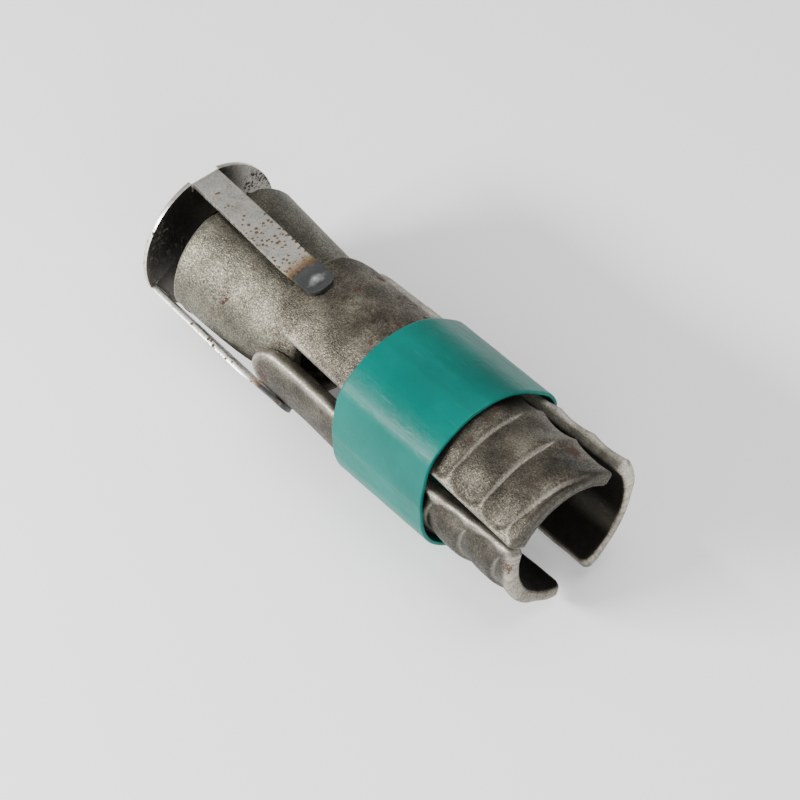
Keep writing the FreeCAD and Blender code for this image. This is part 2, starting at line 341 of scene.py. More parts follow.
# %% Tone of the sheet
# bright grey metal with a soft sheen
sheet_steel, tree, shader = new_material("rusting_sheet_steel", "#9a9894")
place = add(tree, "TexCoord").outputs["Object"]
grain = add(tree, "TexNoise", {
    "Vector": place, "Scale": blobs(0.6), "Detail": 4.0, "Roughness": 0.7})
cloud = add(tree, "TexNoise", {
    "Vector": place, "Scale": blobs(9.0), "Detail": 5.0, "Roughness": 0.65})
tone = add(tree, "Math", {0: grain, 1: cloud}, operation="ADD")
tone = add(tree, "Math", {0: tone, 1: 0.5}, operation="MULTIPLY")
base = add(tree, "ValToRGB", {"Fac": tone}, stops=[
    (0.35, "#94918a"), (0.5, "#cdcac1"), (0.66, "#e5e2d9")])
print("bare sheet nodes", len(tree.nodes))

# %% Heat tint of the welds
weld = add(tree, "Attribute", attribute_name="from_weld")
# the rings are ragged, so the grain shifts the distance a little
shifted = add(tree, "Math", {0: grain, 1: 0.16, 2: weld.outputs["Fac"]}, operation="MULTIPLY_ADD")
ragged = add(tree, "Math", {0: shifted, 1: 0.08}, operation="SUBTRACT")
tint = add(tree, "ValToRGB", {"Fac": ragged}, stops=[
    (0.0, "#a9aca4"), (0.055, "#7c8280"), (0.10, "#3c4144"), (0.31, "#474b4d"),
    (0.36, "#3f3833"), (0.40, "#7a5c3c"), (0.50, "#a38b66"), (0.66, "#b7ae9c")])
reach = add(tree, "MapRange", {"Value": ragged, 1: 0.74, 2: 0.44, 3: 0.0, 4: 0.92})
heated = add(tree, "Mix", {0: reach, 6: base, 7: tint}, data_type="RGBA")
print("with heat tint", len(tree.nodes))

# %% Rust specks of the sheet
# smears about 1 mm wide, only where two noises are both high
speck = add(tree, "TexNoise", {
    "Vector": place, "Scale": blobs(0.8), "Detail": 3.0, "Roughness": 0.75})
patch = add(tree, "TexNoise", {"Vector": place, "Scale": blobs(11.0), "Detail": 3.0})
both = add(tree, "Math", {0: speck, 1: patch}, operation="ADD")
smear = add(tree, "MapRange", {"Value": both, 1: 1.16, 2: 1.24})
# pinpricks, 0.2 to 0.9 mm wide and about 1 mm apart: each Voronoi cell has one round dot, and
# the cell's own random colour says how large it is
dots = add(tree, "TexVoronoi", {"Vector": place, "Scale": blobs(0.9)})
chance = add(tree, "SeparateXYZ", {0: dots.outputs["Color"]})
size = add(tree, "MapRange", {"Value": chance.outputs["X"], 3: 0.14, 4: 0.54})
inside = add(tree, "Math", {0: size, 1: dots.outputs["Distance"]}, operation="SUBTRACT")
dot = add(tree, "MapRange", {"Value": inside, 1: 0.0, 2: 0.08})
# they gather in clouds, more of them along the arms than near the disc
along = add(tree, "SeparateXYZ", {0: place})
midway = add(tree, "MapRange", {
    "Value": along.outputs["X"], 1: 0.003, 2: 0.016, 3: -0.08, 4: 0.12})
crowd = add(tree, "Math", {0: patch, 1: midway}, operation="ADD")
gather = add(tree, "MapRange", {"Value": crowd, 1: 0.40, 2: 0.48})
spots = add(tree, "Math", {0: dot, 1: gather}, operation="MULTIPLY")
# and none lie on the heated end
cool = add(tree, "MapRange", {"Value": weld.outputs["Fac"], 1: 0.34, 2: 0.40})
spots = add(tree, "Math", {0: spots, 1: cool}, operation="MULTIPLY")
rust = add(tree, "Math", {0: smear, 1: spots}, operation="MAXIMUM")
stained = add(tree, "Mix", {
    0: rust, 6: heated.outputs[2], 7: linear("#4b3822")}, data_type="RGBA")
print("with rust", len(tree.nodes))

# %% Painted shade on the disc's inner face
# a dark colour painted as shade on the face that looks at the cone: it points to +X, lies
# within 3 mm of the disc's outside, and gets less of the painted shade towards +Y, which is lit
facing = add(tree, "SeparateXYZ", {0: add(tree, "TexCoord").outputs["Normal"]})
near_disc = add(tree, "MapRange", {"Value": along.outputs["X"], 1: 0.003, 2: 0.0015})
turned_in = add(tree, "MapRange", {"Value": facing.outputs["X"], 1: 0.6, 2: 0.9})
less_shade_towards_plus_y = add(tree, "MapRange", {
    "Value": along.outputs["Y"], 1: 0.001, 2: 0.012, 3: 0.92, 4: 0.55})
inner_face_shade = add(tree, "Math", {0: turned_in, 1: less_shade_towards_plus_y}, operation="MULTIPLY")
painted_disc_shade = add(tree, "Math", {0: near_disc, 1: inner_face_shade}, operation="MULTIPLY")
# the dark colour of the painted shade
disc_with_painted_shade = add(tree, "Mix", {0: painted_disc_shade, 6: stained.outputs[2], 7: linear("#2e2b28")}, data_type="RGBA")
feed(tree, shader, {"Base Color": disc_with_painted_shade.outputs[2]})
print("painted_shade_added", len(tree.nodes))

# %% Gloss and grain of the sheet
# smooth and metallic where it is bare, rough and dull on the rust
rough = add(tree, "MapRange", {"Value": rust, 3: 0.38, 4: 0.85})
metal = add(tree, "MapRange", {"Value": rust, 3: 1.0, 4: 0.2})
bump = add(tree, "Bump", {"Height": grain, "Strength": 0.25, "Distance": 0.00008})
feed(tree, shader, {"Roughness": rough, "Metallic": metal, "Normal": bump})
print("the whole sheet", len(tree.nodes))

# %% [markdown]
# ## Extruded plastic
# The band is a short length of extruded polyethylene tube, teal, half glossy, and rubbed by
# handling. A noise that is stretched along the bolt gives the fine drawn lines, and a coarser
# one gives the soft wrinkles that break up the highlight.

# %% Material of the band
# deep teal, smooth and half glossy
band_plastic, tree, shader = new_material("polyethylene", "#2c827a")
place = add(tree, "TexCoord").outputs["Object"]
cloud = add(tree, "TexNoise", {"Vector": place, "Scale": blobs(14.0), "Detail": 3.0})
base = add(tree, "ValToRGB", {"Fac": cloud}, stops=[(0.35, "#005850"), (0.65, "#02635a")])
stretch = add(tree, "Mapping", {"Vector": place, "Scale": (0.06, 1.0, 1.0)})
lines = add(tree, "TexNoise", {"Vector": stretch, "Scale": blobs(0.5), "Detail": 3.0})
scuff = add(tree, "MapRange", {"Value": lines, 1: 0.66, 2: 0.78, 3: 0.0, 4: 0.10})
pale = add(tree, "Mix", {0: scuff, 6: base, 7: linear("#5fb5aa")}, data_type="RGBA")
rough = add(tree, "MapRange", {"Value": lines, 1: 0.3, 2: 0.7, 3: 0.33, 4: 0.42})
shader.inputs["IOR"].default_value = 1.51
shader.inputs["Specular IOR Level"].default_value = 0.12
drawn = add(tree, "Bump", {"Height": lines, "Strength": 0.15, "Distance": 0.00005})
wrinkle = add(tree, "TexNoise", {
    "Vector": place, "Scale": blobs(3.2), "Detail": 4.0, "Distortion": 1.2})
bump = add(tree, "Bump", {
    "Height": wrinkle, "Normal": drawn, "Strength": 0.35, "Distance": 0.00025})
feed(tree, shader, {"Base Color": pale.outputs[2], "Roughness": rough, "Normal": bump})
print("polyethylene nodes", len(tree.nodes))

# %% [markdown]
# ## A leaf
# Each leaf is thick plate pressed to the curve of the hole, with rounded corners and edges. It
# could be cut from a tube with Booleans, but each rib would then need a cut of its own. A flat
# grid is the easier start: its rows and columns are laid out to the leaf's outline, each vertex
# is lifted to the outer skin, and the skin is then extruded inwards in steps to make the wall.

# %% Sizes of a leaf
TIP_X, END_X = 35.3, 112.1
LEAF_LENGTH = END_X - TIP_X
LEAF_R, LEAF_WALL, TIP_WALL = 17.3, 3.4, 2.1
# the leaf is pressed to the radius of the hole, so it sits this much off the bolt axis
LEAF_DROP = 0.7
TIP_HALF, END_HALF = math.radians(45.8), math.radians(51.1)
TIP_CORNER, END_CORNER = 7.0, 1.8
EDGE_ROUND = 0.9
SPLAY = math.radians(1.0)
GRIND_ANGLE = math.radians(6.6)


def plain_half(x):
    """half of the leaf's width on its outer skin, without the rounded corners"""
    return LEAF_R * (TIP_HALF + (x - TIP_X) / LEAF_LENGTH * (END_HALF - TIP_HALF))


print("leaf is", round(LEAF_LENGTH, 1), "mm long and", LEAF_WALL, "mm thick")


# %% Outline of a leaf
def half_width(x):
    """half of the leaf's width on its outer skin, with the rounded corners"""
    width = plain_half(x)
    for corner, distance in ((TIP_CORNER, x - TIP_X), (END_CORNER, END_X - x)):
        if distance < corner:
            width -= corner - math.sqrt(max(corner ** 2 - (corner - distance) ** 2, 0.0))
    return width


def from_outline(x, across):
    """distance of a point of the skin from the nearest edge of the leaf"""
    at_tip = (x - TIP_X) / LEAF_LENGTH < 0.5
    corner, distance = (TIP_CORNER, x - TIP_X) if at_tip else (END_CORNER, END_X - x)
    a, b = corner - distance, abs(across) - (plain_half(x) - corner)
    return corner - math.hypot(max(a, 0.0), max(b, 0.0)) - min(max(a, b), 0.0)


def rounding(inside):
    """how far the skin drops at a distance from the edge, where it is rounded"""
    if inside >= EDGE_ROUND:
        return 0.0
    return EDGE_ROUND - math.sqrt(EDGE_ROUND ** 2 - (EDGE_ROUND - inside) ** 2)


# %% Skin of a leaf
def inner_radius(x):
    """the inner skin: ground back towards the tip, where the cone slides under it"""
    lead = (LEAF_WALL - TIP_WALL) / math.tan(GRIND_ANGLE)
    ground = max(0.0, 1.0 - (x - TIP_X) / lead)
    return LEAF_R - LEAF_WALL + ground * (LEAF_WALL - TIP_WALL)


def leaf_point(x, across, radius):
    """a point of a leaf that lies on top, at a distance across it from its middle"""
    angle = across / LEAF_R
    return Vector((x, radius * math.sin(angle), radius * math.cos(angle) - LEAF_DROP))


# %% [markdown]
# ## The ribs
# The open end grips the rock with ribs that were pressed across the outside. At the crown they
# are rounded pads with a sharp notch between them, and towards the sides they turn into scooped
# pockets with sharp crests. Both forms come from one value, the phase: how far along its rib a
# point lies. No two leaves were pressed alike, so each has its own numbers.

# %% Phase and height of a rib
RIB_PITCH, PAD_DEPTH = 9.3, 1.15
RIBS_START, RIBS_EASE = 76.0, 5.0
# a pad climbs over this share of the pitch and drops over the rest
PAD_RISE = 0.84
# in degrees from the crown: where pads turn into scoops, and over how much ribs fade out
SCOOP_ANGLES = (18.0, 36.0)
FADE_ANGLE = 6.0
# the reach of ribs that cut through the edge of the leaf
OPEN = 999.0
# the lines bow back within this angle of the crown, and the last one slants from here on
BOW_ANGLE, SKEW_ANGLE, SKEW_RISE = 42.0, 45.0, (103.0, 109.0)


def smoothstep(low, high, value):
    """0 below low, 1 above high, and a soft S between them"""
    share = min(max((value - low) / (high - low), 0.0), 1.0)
    return share * share * (3.0 - 2.0 * share)


def rib_phase(x, angle, leaf):
    """how far along its rib a point lies, from 0 just after a line to 1 at the next"""
    degrees = math.degrees(angle)
    curve = leaf["bow"] * (1.0 - min(abs(degrees) / BOW_ANGLE, 1.0) ** 2)
    slant = leaf["skew"] * degrees / SKEW_ANGLE * smoothstep(*SKEW_RISE, x)
    return (x - leaf["line"] + curve - slant) / RIB_PITCH % 1.0


def rib_height(x, angle, phase, leaf):
    """height of the ribs over the plain skin, and how much of them there is. At the crown a
    pad climbs slowly from its line and drops at the next. At the sides a line is a sharp
    crest between scoops"""
    degrees = abs(math.degrees(angle))
    if phase < PAD_RISE:
        pad = -PAD_DEPTH * (1.0 - phase / PAD_RISE) ** 2.2
    else:
        pad = -PAD_DEPTH * ((phase - PAD_RISE) / (1.0 - PAD_RISE)) ** 1.5
    off_line = 2.0 * min(phase, 1.0 - phase)
    scoop = -leaf["scoop"] * (1.0 - (1.0 - off_line) ** 2)
    crown = 1.0 - smoothstep(*SCOOP_ANGLES, degrees)
    reach = leaf["reach"][0 if angle < 0.0 else 1]
    end = reach - FADE_ANGLE * (1.0 - off_line) ** 2
    shown = (1.0 - smoothstep(end - FADE_ANGLE, end, degrees)) * smoothstep(
        RIBS_START - RIBS_EASE, RIBS_START + RIBS_EASE, x)
    return (crown * pad + (1.0 - crown) * scoop) * shown, shown


# %% Rows and columns of the grid
COLUMNS = 96
EDGE_ROWS = 5
PLAIN_STEP, RIB_STEP = 0.5, 0.22
# columns bunch up towards both sides, where the edge is rounded
BUNCH = math.radians(78.0)


def leaf_rows():
    """where the rows lie along the leaf: close at both ends and where the ribs are"""
    rows = [TIP_X + EDGE_ROUND * (i / EDGE_ROWS) ** 2 for i in range(EDGE_ROWS)]
    x = TIP_X + EDGE_ROUND
    while x < END_X - EDGE_ROUND:
        rows.append(x)
        x += PLAIN_STEP if x < RIBS_START else RIB_STEP
    rows += [END_X - EDGE_ROUND * (i / EDGE_ROWS) ** 2 for i in range(EDGE_ROWS, -1, -1)]
    return rows


ROWS = leaf_rows()
print("leaf grid", len(ROWS), "rows by", COLUMNS + 1, "columns")


# %% [markdown]
# While the skin is shaped, each vertex also gets the two values that the steel reads. The
# lightening is high on the crests and along the sides, partly wear where the leaf rubs on what it
# is packed with and partly a painted highlight, and scale is high where dark mill scale is left
# at the end, where the ribs and plain skin are darkened, and on the inner skin, as painted shade.

# %% What is lightened and what is darkened
# the phase in which a crest gets its painted highlight, and the angles at which that ends
CREST_PHASE, CREST_END = (0.92, 0.97), (24.0, 36.0)


def brightness(x, across, angle, inside, phase, shown, leaf):
    """how much lighter a point of the outer skin is made, as wear and as painted highlight"""
    crest = 0.75 * shown * smoothstep(*CREST_PHASE, phase)
    if leaf["reach"][1] == OPEN:
        crest *= 1.0 - smoothstep(*CREST_END, math.degrees(angle))
    edge_wear_and_sheen, width = leaf["edge_wear_and_sheen"][0 if across < 0.0 else 1]
    streak = 0.75 + 0.6 * noise.noise(Vector((x / 2.5, across / 0.7, leaf["seed"] * 5.0)))
    return max(edge_wear_and_sheen * streak * (1.0 - smoothstep(0.1, width, inside)), crest)


def outer_darkening(x, across, inside, shown, leaf):
    """how dark a point of the outer skin is made: scale at the end, and a darkening of ribs and
    skin
    """
    low_side, high_side = leaf["rib_darkening"]
    on_ribs = low_side + (high_side - low_side) * smoothstep(-9.0, 3.0, across)
    return max(leaf["end_scale"] * smoothstep(END_X - 2.2, END_X - 1.0, x),
               on_ribs * smoothstep(1.0, 3.0, inside) * shown,
               leaf["skin_darkening"] * smoothstep(0.8, 2.5, inside))


# %% Lift the outer skin
def lift_skin(bm, layers, leaf, shift):
    """moves each vertex of the flat grid to its place on the outer skin"""
    along, across, wear_and_highlight, scale = layers
    for vert in bm.verts:
        x = ROWS[round((vert.co.x + 1.0) / 2.0 * (len(ROWS) - 1))]
        s = math.sin(vert.co.y * BUNCH) / math.sin(BUNCH) * half_width(x)
        vert[along], vert[across] = x, s
        inside = max(from_outline(x, s), 0.0)
        angle = s / LEAF_R - math.radians(leaf["rib_turn"])
        phase = rib_phase(x, angle, leaf)
        height, shown = rib_height(x, angle, phase, leaf)
        point = leaf_point(x, s, LEAF_R)
        dents = 0.05 * noise.noise(point / 5.0 + shift) + 0.03 * noise.noise(point / 1.1 + shift)
        vert.co = leaf_point(x, s, LEAF_R + height - rounding(inside) - 0.06 + dents)
        vert[wear_and_highlight] = brightness(x, s, angle, inside, phase, shown, leaf)
        vert[scale] = outer_darkening(x, s, inside, shown, leaf)


# %% Extrude the wall
# shares of the wall at which the skin is extruded again, so that its sides can wander
WALL_STEPS = (0.45, 0.80, 1.0)
# the inner skin is pulled in by this much all round, as a small rounding of its edge
INNER_PULL = 0.25


def extrude_wall(bm, layers, leaf, shift):
    """draws the skin inwards to the inner radius"""
    along, across, wear_and_highlight, scale = layers
    skin = bm.faces[:]
    outer = LEAF_R - EDGE_ROUND
    for depth in WALL_STEPS:
        made = bmesh.ops.extrude_face_region(bm, geom=skin)["geom"]
        skin = [f for f in made if isinstance(f, bmesh.types.BMFace)]
        for vert in [v for v in made if isinstance(v, bmesh.types.BMVert)]:
            x, s = vert[along], vert[across]
            vert[scale] = leaf["end_scale"] * smoothstep(END_X - 0.5, END_X, x)
            pull = 0.0
            if depth == 1.0:
                # the inner skin is made dark all over as painted shade for the inside of the
                # shell, half as dark at its rim, and keeps half of its lightening only at the rim
                rim = 1.0 - smoothstep(0.0, 0.5, from_outline(x, s))
                vert[scale] = 1.0 - 0.5 * rim
                vert[wear_and_highlight] *= 0.5 * rim
                pull = INNER_PULL
            radius = outer + depth * (inner_radius(x) - outer)
            x = TIP_X + pull + (x - TIP_X) * (LEAF_LENGTH - 2.0 * pull) / LEAF_LENGTH
            wall = leaf_point(x, s * (1.0 - pull / 16.0), radius)
            wander = 0.06 * noise.noise(wall / 2.0 + shift)
            vert.co = wall + Vector((0.0, wall.y, wall.z)).normalized() * wander


# %% Turn a leaf to its place
# a leaf that was bent in the press bulges between these places along the bolt
ARCH_RISE, ARCH_FALL = (46.0, 66.0), (86.0, 106.0)


def outward(angle):
    """the direction away from the bolt axis at an angle, counted from +Y towards +Z"""
    return Vector((0.0, math.cos(angle), math.sin(angle)))


def turn_to_place(bm, leaf):
    """splays the leaf from its tip, turns it round the bolt, and leans its open end"""
    tip = Vector((TIP_X, 0.0, LEAF_R - LEAF_DROP))
    bmesh.ops.rotate(bm, cent=tip, matrix=Matrix.Rotation(-SPLAY, 3, "Y"), verts=bm.verts)
    turn = Matrix.Rotation(math.radians(leaf["direction"] - 90.0), 3, "X")
    bmesh.ops.rotate(bm, cent=(0, 0, 0), matrix=turn, verts=bm.verts)
    out = outward(math.radians(leaf["direction"]))
    lean_y, lean_z = leaf["lean"]
    for vert in bm.verts:
        x = vert.co.x
        share = (x - TIP_X) / LEAF_LENGTH
        vert.co += Vector((leaf["slide"], lean_y * share, lean_z * share))
        bulge = smoothstep(*ARCH_RISE, x) * (1.0 - smoothstep(*ARCH_FALL, x))
        vert.co += out * leaf["arch"] * bulge


# %% Build one leaf
def make_leaf(name, leaf):
    bm = bmesh.new()
    layers = [bm.verts.layers.float.new(key) for key in ("along", "across", "wear_and_highlight", "scale")]
    bmesh.ops.create_grid(bm, x_segments=len(ROWS) - 1, y_segments=COLUMNS, size=1.0)
    # each leaf reads its dents from another part of the noise
    shift = Vector((leaf["seed"] * 31.7, 0.0, 0.0))
    lift_skin(bm, layers, leaf, shift)
    extrude_wall(bm, layers, leaf, shift)
    bmesh.ops.recalc_face_normals(bm, faces=bm.faces)
    turn_to_place(bm, leaf)
    return to_object(bm, name, leaf_steel)


# %% [markdown]
# What differs from leaf to leaf is kept in one table. direction is the angle of its middle from
# +Y, slide its shift along the bolt, lean how far its open end sits off the axis in Y and Z,
# and arch how far its middle bulges. rib_turn is the angle of the ribs' crown, line is where
# one line runs at the sides, bow how far the lines curve back at the crown, skew how much the
# last line slants, reach where the ribs fade out on the low and the high side, and scoop their
# depth at the sides. Then come how bright and how wide each side's edge is made, as wear and as
# a painted highlight, how much dark scale is left at the end, and how much darker the ribs of
# each side and the plain skin are made.

# %% The three leaves
LEAVES = {
    "leaf_top": dict(
        seed=1, direction=92.0, slide=0.9, lean=(-2.2, -0.9), arch=0.0,
        rib_turn=-4.0, line=101.1, bow=0.0, skew=2.0, reach=(46.0, OPEN), scoop=0.8,
        edge_wear_and_sheen=((0.4, 1.6), (0.3, 0.8)), end_scale=0.75, rib_darkening=(0.5, 0.1), skin_darkening=0.0),
    "leaf_left": dict(
        seed=2, direction=206.0, slide=-0.6, lean=(1.4, 0.3), arch=0.8,
        rib_turn=4.0, line=101.3, bow=3.8, skew=0.0, reach=(OPEN, 45.0), scoop=0.95,
        edge_wear_and_sheen=((0.6, 1.0), (1.0, 2.6)), end_scale=0.0, rib_darkening=(0.5, 0.5), skin_darkening=0.48),
    "leaf_right": dict(
        seed=3, direction=334.0, slide=-0.4, lean=(-0.3, 2.1), arch=0.0,
        rib_turn=6.0, line=101.6, bow=0.0, skew=0.0, reach=(OPEN, 48.0), scoop=0.5,
        edge_wear_and_sheen=((1.5, 1.6), (0.8, 1.0)), end_scale=0.0, rib_darkening=(0.1, 0.1), skin_darkening=0.0),
}
for node, leaf in LEAVES.items():
    piece = make_leaf(node + "_plate", leaf)
    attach(piece, "shell")
    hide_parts(node)

# %% [markdown]
# ## The cone
# The cone is one casting: a taper with three shallow channels for the leaves, three flat
# lands that let the bail's arms pass, and a threaded bore. Cuts into a solid taper would do,
# but a spun section gives even faces to carry the thread. So its half section is spun round
# the bolt axis, and each vertex is then pushed in to the lowest of taper, channel and land, or
# to the thread, a ridge that climbs one pitch a turn.

# %% Sizes of the cone
CONE_X, CONE_LENGTH = 9.2, 34.0
CONE_END = CONE_X + CONE_LENGTH
WEDGE = math.tan(math.radians(5.6))
BIG_R = 16.92
CHANNEL_R = 17.37
LAND_R = 15.18
THREAD_R, THREAD_ROOT_R, THREAD_PITCH = 8.75, 10.0, 2.5
# the flank as a share of the pitch, and where the thread fades in from both ends
FLANK, THREAD_FADE = (0.06, 0.44), (0.3, 2.2)
RIM = 1.0
CHANNEL_ANGLES = (90.67, 210.67, 330.67)
LAND_ANGLES = (87.5, 207.5, 327.5)
STEPS = 300
SKIN_ROWS, BORE_ROWS = 90, 130


def soft_min(a, b, blend=0.25):
    """the smaller of two radii, with a small rounding where they cross"""
    share = max(blend - abs(a - b), 0.0) / blend
    return min(a, b) - share * share * blend * 0.25


# %% Radius of the cone's outside
def cone_radius(x, angle):
    """the lowest of the taper, the nearest channel and the nearest land"""
    fall = (x - CONE_X) * WEDGE
    radius = BIG_R - fall
    for direction in CHANNEL_ANGLES:
        turn = math.radians(angle - direction)
        if math.cos(turn) > 0.5:
            reach = math.sqrt((CHANNEL_R - fall) ** 2 - (LEAF_DROP * math.sin(turn)) ** 2)
            radius = soft_min(radius, reach - LEAF_DROP * math.cos(turn))
    for direction in LAND_ANGLES:
        turn = math.radians(angle - direction)
        if math.cos(turn) > 0.5:
            radius = soft_min(radius, LAND_R / math.cos(turn))
    return radius


def thread_radius(x, angle):
    """the bore with its ridge, which climbs one pitch a turn and fades at both ends"""
    climb = (x / THREAD_PITCH - angle / 360.0) % 1.0
    ridge = 1.0 - smoothstep(*FLANK, abs(climb - 0.5))
    fade = smoothstep(*THREAD_FADE, min(x - CONE_X, CONE_END - x))
    return THREAD_ROOT_R - (THREAD_ROOT_R - THREAD_R) * ridge * fade


print("cone radius at a channel", round(cone_radius(CONE_X, CHANNEL_ANGLES[0]), 2), "mm")

# %% [markdown]
# The section keeps a note in each vertex of what it belongs to: the tapered skin, the flat
# faces at both ends, the rounded rim between them, or the bore. Only the flat faces know their
# radius from the start. The others are spun at a stand-in radius, and the note says how each
# is moved afterwards.

# %% Half section of the cone
SKIN, FLAT, ROUNDED, BORE = 1, 2, 3, 4
SKIN_STAND_IN, BORE_STAND_IN = 20.0, 5.0


def cone_section():
    """the points of the half section: place along the bolt, radius at the start, and note"""
    skin = [CONE_X + RIM + i * (CONE_LENGTH - 2 * RIM) / SKIN_ROWS for i in range(SKIN_ROWS + 1)]
    bore = [CONE_X + 0.3 + i * (CONE_LENGTH - 0.6) / BORE_ROWS for i in range(BORE_ROWS + 1)]
    points = [(CONE_X, THREAD_ROOT_R + 0.6 + i * 0.6, FLAT) for i in range(9)]
    for along, depth in ((0.0, 1.0), (0.25 * RIM, 0.55), (0.55 * RIM, 0.2)):
        points.append((CONE_X + along, SKIN_STAND_IN - depth, ROUNDED))
    points += [(x, SKIN_STAND_IN, SKIN) for x in skin]
    for along, depth in ((0.5 * RIM, 0.25), (0.0, 1.0)):
        points.append((CONE_END - along, SKIN_STAND_IN - depth, ROUNDED))
    points += [(CONE_END, 12.2 - i * 0.5, FLAT) for i in range(4)]
    points += [(x, BORE_STAND_IN, BORE) for x in reversed(bore)]
    return points


print("cone section has", len(cone_section()), "points")


# %% Build the cone
# the lands are darkened by this much, which fades out between these distances from their middle
LAND_DARKENING, LAND_EDGE = 0.42, (4.5, 7.5)


def spin_section(bm, zone):
    """joins the section's points to a ring of edges and spins it round the bolt axis"""
    ring = []
    for x, radius, note in cone_section():
        vert = bm.verts.new((x, 0.0, radius))
        vert[zone] = note
        ring.append(vert)
    for a, b in zip(ring, ring[1:] + ring[:1]):
        bm.edges.new((a, b))
    bmesh.ops.spin(bm, geom=bm.verts[:] + bm.edges[:], cent=(0, 0, 0), axis=(1, 0, 0),
                   angle=math.tau, steps=STEPS, use_merge=True)


def off_land(radius, angle):
    """distance across from the middle line of the nearest land"""
    turns = [math.radians(angle - land) for land in LAND_ANGLES]
    return min(abs(radius * math.sin(t)) if math.cos(t) > 0 else 99.0 for t in turns)


def make_cone():
    bm = bmesh.new()
    zone = bm.verts.layers.int.new("zone")
    wear_and_highlight = bm.verts.layers.float.new("wear_and_highlight")
    scale = bm.verts.layers.float.new("scale")
    spin_section(bm, zone)
    for vert in bm.verts:
        x = vert.co.x
        angle = math.degrees(math.atan2(vert.co.z, vert.co.y))
        radius = math.hypot(vert.co.y, vert.co.z)
        direction = Vector((0.0, vert.co.y, vert.co.z)) / radius
        if vert[zone] == SKIN:
            radius = cone_radius(x, angle)
        elif vert[zone] == ROUNDED:
            radius = cone_radius(x, angle) - (SKIN_STAND_IN - radius)
        elif vert[zone] == BORE:
            radius = thread_radius(x, angle)
        vert.co.y, vert.co.z = direction.y * radius, direction.z * radius
        dents = 0.06 * noise.noise(vert.co / 4.0) + 0.035 * noise.noise(vert.co / 0.9)
        if vert[zone] in (SKIN, ROUNDED):
            vert.co -= direction * (0.08 - dents)
        # the rims are rubbed lighter, and the lands are made darker
        vert[wear_and_highlight] = 0.35 if vert[zone] == ROUNDED else 0.0
        if vert[zone] == SKIN:
            vert[scale] = LAND_DARKENING * (1.0 - smoothstep(*LAND_EDGE, off_land(radius, angle)))
    bmesh.ops.remove_doubles(bm, verts=bm.verts, dist=0.001)
    bmesh.ops.recalc_face_normals(bm, faces=bm.faces)
    return to_object(bm, "cone_casting", cone_steel)


# %% The cone in its place
cone = make_cone()
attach(cone, "cone")
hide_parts("cone")

# %% [markdown]
# ## The bail
# The bail is one piece of 1 mm sheet: a disc with three arms folded over its rim. Joined from a
# disc and three bars, it would show seams at the folds, so it is built the way it is made. A
# flat disc is cut with relief slits, the rim edge between two slits is drawn out round the
# bend, and the strip runs on to its lap on a leaf, where it is pressed to the leaf's curve. The
# flat sheet then gets its thickness from Solidify, and a small Bevel breaks its edges.

# %% Sizes of the bail
DISC_R, GAUGE, BEND_R = 17.0, 1.0, 0.6
OUTER_BEND = BEND_R + GAUGE
ARM_WIDTH = 6.6
HALF_ARM = ARM_WIDTH / 2
# where each arm leaves the disc and where it ends, in degrees from +Y
ARM_ANGLES = ((87.5, 96.0), (207.5, 212.0), (327.5, 334.0))
FOLD_R = math.sqrt(DISC_R ** 2 - HALF_ARM ** 2)
# an arm overlaps its leaf by LAP, and lies straight over the last LAP_LENGTH
LAP, LAP_LENGTH = 9.0, 11.5
LAP_END = TIP_X + LAP
LAP_GAP = 0.15
LAP_R = 16.6 + LAP * math.tan(SPLAY) + LAP_GAP + GAUGE
SLIT, SLIT_DEPTH = 0.25, 0.6
# length of the rounded end of an arm, and how far round its curve goes
END_ARC, END_SWEEP = 2.1, 0.97 * math.pi / 2
DIMPLE_R, DIMPLE_DEPTH = 1.5, 0.28
# the heat tint reaches this far along the arm, and further across it, where it is cut off
TINT_REACH, TINT_ACROSS = 12.0, 0.45
ARM_COLUMNS = 20
DISC_SEGMENTS = 180
print("fold at", round(FOLD_R, 2), "mm and lap at", round(LAP_R, 2), "mm from the axis")


# %% Cut the relief slits
def sideways(angle):
    """the direction round the bolt axis at an angle"""
    return Vector((0.0, -math.sin(angle), math.cos(angle)))


def cut_slits(bm, angle):
    """cuts the disc beside one arm, takes out the two relief slits and the rim between them,
    and gives back the edges that the arm is drawn from"""
    out, side = outward(angle), sideways(angle)
    root = FOLD_R - OUTER_BEND
    planes = [(side * w, side) for w in (-HALF_ARM - SLIT, -HALF_ARM, HALF_ARM, HALF_ARM + SLIT)]
    planes += [(out * (root - SLIT_DEPTH), out), (out * root, out)]
    for point, normal in planes:
        parts = bm.verts[:] + bm.edges[:] + bm.faces[:]
        bmesh.ops.bisect_plane(bm, geom=parts, dist=0.0001, plane_co=point, plane_no=normal)
    gone = []
    for face in bm.faces:
        centre = face.calc_center_median()
        deep, wide = centre.dot(out), abs(centre.dot(side))
        if wide < HALF_ARM and deep > root:
            gone.append(face)
        elif HALF_ARM < wide < HALF_ARM + SLIT and deep > root - SLIT_DEPTH:
            gone.append(face)
    bmesh.ops.delete(bm, geom=gone, context="FACES")
    return root_edges(bm, angle, 0.02)


def root_edges(bm, angle, slack):
    """the edges of the disc along the root of one arm"""
    out, side = outward(angle), sideways(angle)
    root = FOLD_R - OUTER_BEND
    return [e for e in bm.edges if e.is_boundary and all(
        abs(v.co.x) < 0.001 and abs(v.co.dot(out) - root) < slack
        and abs(v.co.dot(side)) < HALF_ARM + slack for v in e.verts)]


# %% [markdown]
# An arm is drawn out in stations: round the bend, along the run, and round its end. At each one
# the last row of edges is extruded and its new vertices are put in place. A curve with a
# profile could carry the strip as well, but it would not be one sheet with the disc.

# %% Stations of an arm
BEND_STEPS, RUN_STEPS, ROUND_STEPS = 6, 80, 12
RUN_END = LAP_END - 0.6 - HALF_ARM


